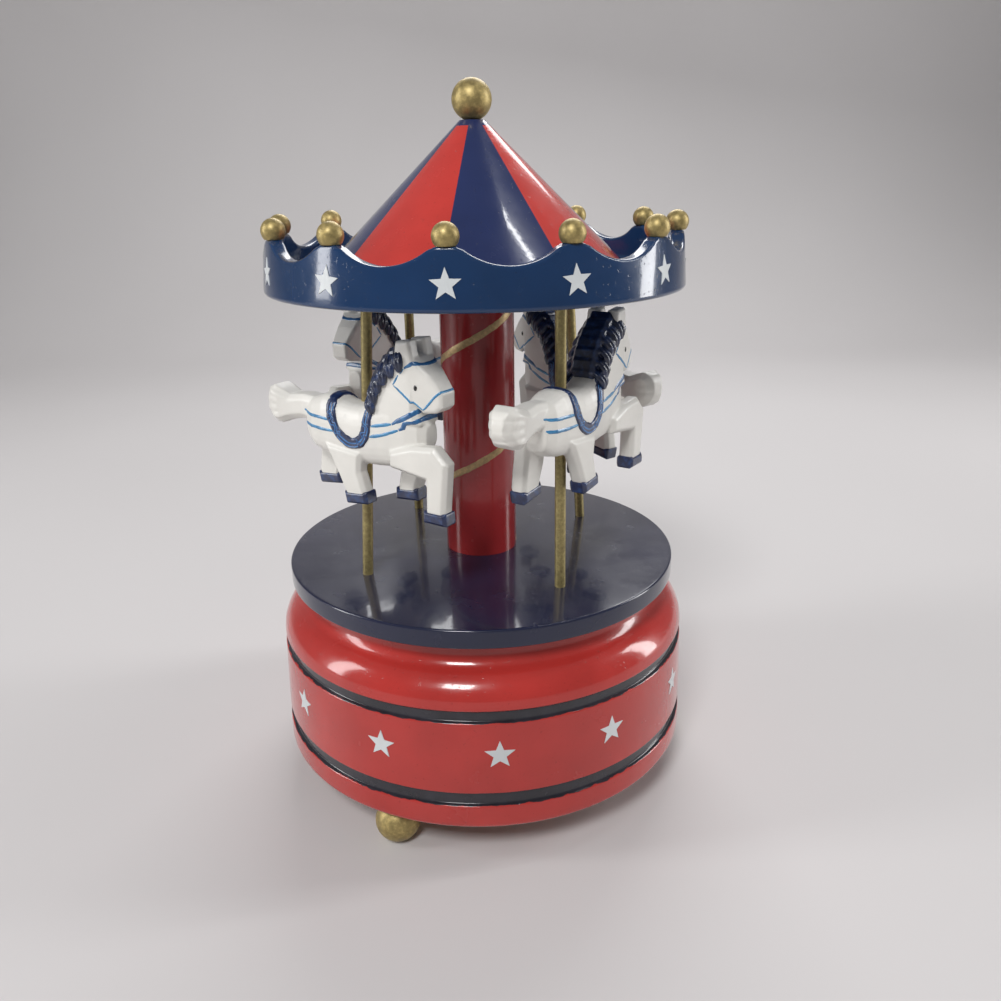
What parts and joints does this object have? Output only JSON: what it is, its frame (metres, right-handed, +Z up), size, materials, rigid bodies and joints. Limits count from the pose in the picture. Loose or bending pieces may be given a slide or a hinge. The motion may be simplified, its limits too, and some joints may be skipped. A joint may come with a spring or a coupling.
{
  "type": "wind-up music box",
  "caption": "Wind-up carousel music box: horses on poles turn between a round base with the movement inside and a scalloped crown.",
  "frame": {"origin": "on the turning axis at floor level, under the middle of the base", "axes": "+Z up along the turning axis, -Y is the front, carousel turns counter-clockwise seen from above"},
  "size_m": [0.1078, 0.1078, 0.1725],
  "materials": {
    "red_lacquer": "turned wood under glossy red lacquer with dark grey painted grooves",
    "roof_lacquer": "turned wood cone under glossy lacquer, red and navy wedges",
    "column_lacquer": "glossy dark red lacquer with a painted gold spiral",
    "platform_lacquer": "glossy midnight blue lacquer",
    "crown_lacquer": "glossy navy blue lacquer with softened edges",
    "star_paint": "thin satin off-white star transfers",
    "gold_paint": "wooden balls in satin metallic gold paint",
    "gold_pole": "round rods in grainy old gold paint",
    "horse_paint": "carved wood, satin off-white, with navy and blue hand-painted trim",
    "plain_wood": "thin plain board",
    "bed_casting": "plain die casting",
    "spring_steel": "spring steel",
    "white_plastic": "moulded white plastic",
    "brass": "machined brass",
    "bright_steel": "bright plated steel"
  },
  "bodies": {
    "base": {"base_body": "red_lacquer", "base_stars": "star_paint", "bottom_cover": "plain_wood", "cover_screws": "bright_steel", "foot_1": "gold_paint", "foot_2": "gold_paint", "foot_3": "gold_paint", "bedplate": "bed_casting", "movement_screws": "bright_steel", "comb": "spring_steel", "comb_screws": "bright_steel", "bearing_inner": "brass", "bearing_outer": "brass", "barrel_bridge": "brass", "bridge_screws": "bright_steel", "governor_frame": "brass", "clutch_spring": "spring_steel", "top_bush": "white_plastic"},
    "carousel": {"spring_barrel": "brass", "barrel_lid": "brass", "mainspring": "spring_steel", "output_shaft": "bright_steel", "drive_hub": "bright_steel", "hub_screws": "bright_steel", "platform": "platform_lacquer", "column": "column_lacquer", "crown": "crown_lacquer", "crown_stars": "star_paint", "roof_cone": "roof_lacquer", "finial": "gold_paint", "bead_1": "gold_paint", "bead_2": "gold_paint", "bead_3": "gold_paint", "bead_4": "gold_paint", "bead_5": "gold_paint", "bead_6": "gold_paint", "bead_7": "gold_paint", "bead_8": "gold_paint", "bead_9": "gold_paint", "bead_10": "gold_paint", "bead_11": "gold_paint", "bead_12": "gold_paint", "pole_1": "gold_pole", "pole_2": "gold_pole", "pole_3": "gold_pole", "pole_4": "gold_pole", "horse_1": "horse_paint", "horse_2": "horse_paint", "horse_3": "horse_paint", "horse_4": "horse_paint"},
    "cylinder": {"music_cylinder": "brass", "cylinder_arbor": "bright_steel", "end_gear": "brass"},
    "governor_wheel": {"governor_arbor": "bright_steel", "worm_wheel": "white_plastic"},
    "air_fan": {"worm_shaft": "bright_steel", "air_brake": "white_plastic"},
    "winder": {"winding_arbor": "bright_steel", "winding_key": "bright_steel"}
  },
  "joints": [
    {"name": "carousel_spin", "type": "hinge", "parent": "base", "child": "carousel", "pos_m": [0, 0, 0.0541], "axis": [0, 0, 1], "continuous": true},
    {"name": "cylinder_spin", "type": "hinge", "parent": "base", "child": "cylinder", "pos_m": [0.015, 0, 0.03585], "axis": [1, 0, 0], "continuous": true},
    {"name": "governor_spin", "type": "hinge", "parent": "base", "child": "governor_wheel", "pos_m": [0.034, 0.0096, 0.03585], "axis": [1, 0, 0], "continuous": true},
    {"name": "fan_spin", "type": "hinge", "parent": "base", "child": "air_fan", "pos_m": [0.0329, 0.01525, 0.03585], "axis": [0, 0, 1], "continuous": true},
    {"name": "winding_turn", "type": "hinge", "parent": "base", "child": "winder", "pos_m": [0, 0, 0.0163], "axis": [0, 0, 1], "continuous": true}
  ],
  "couplings": [
    {"joint": "cylinder_spin", "follows": "carousel_spin", "ratio": 4},
    {"joint": "governor_spin", "follows": "carousel_spin", "ratio": -12},
    {"joint": "fan_spin", "follows": "carousel_spin", "ratio": 288}
  ]
}
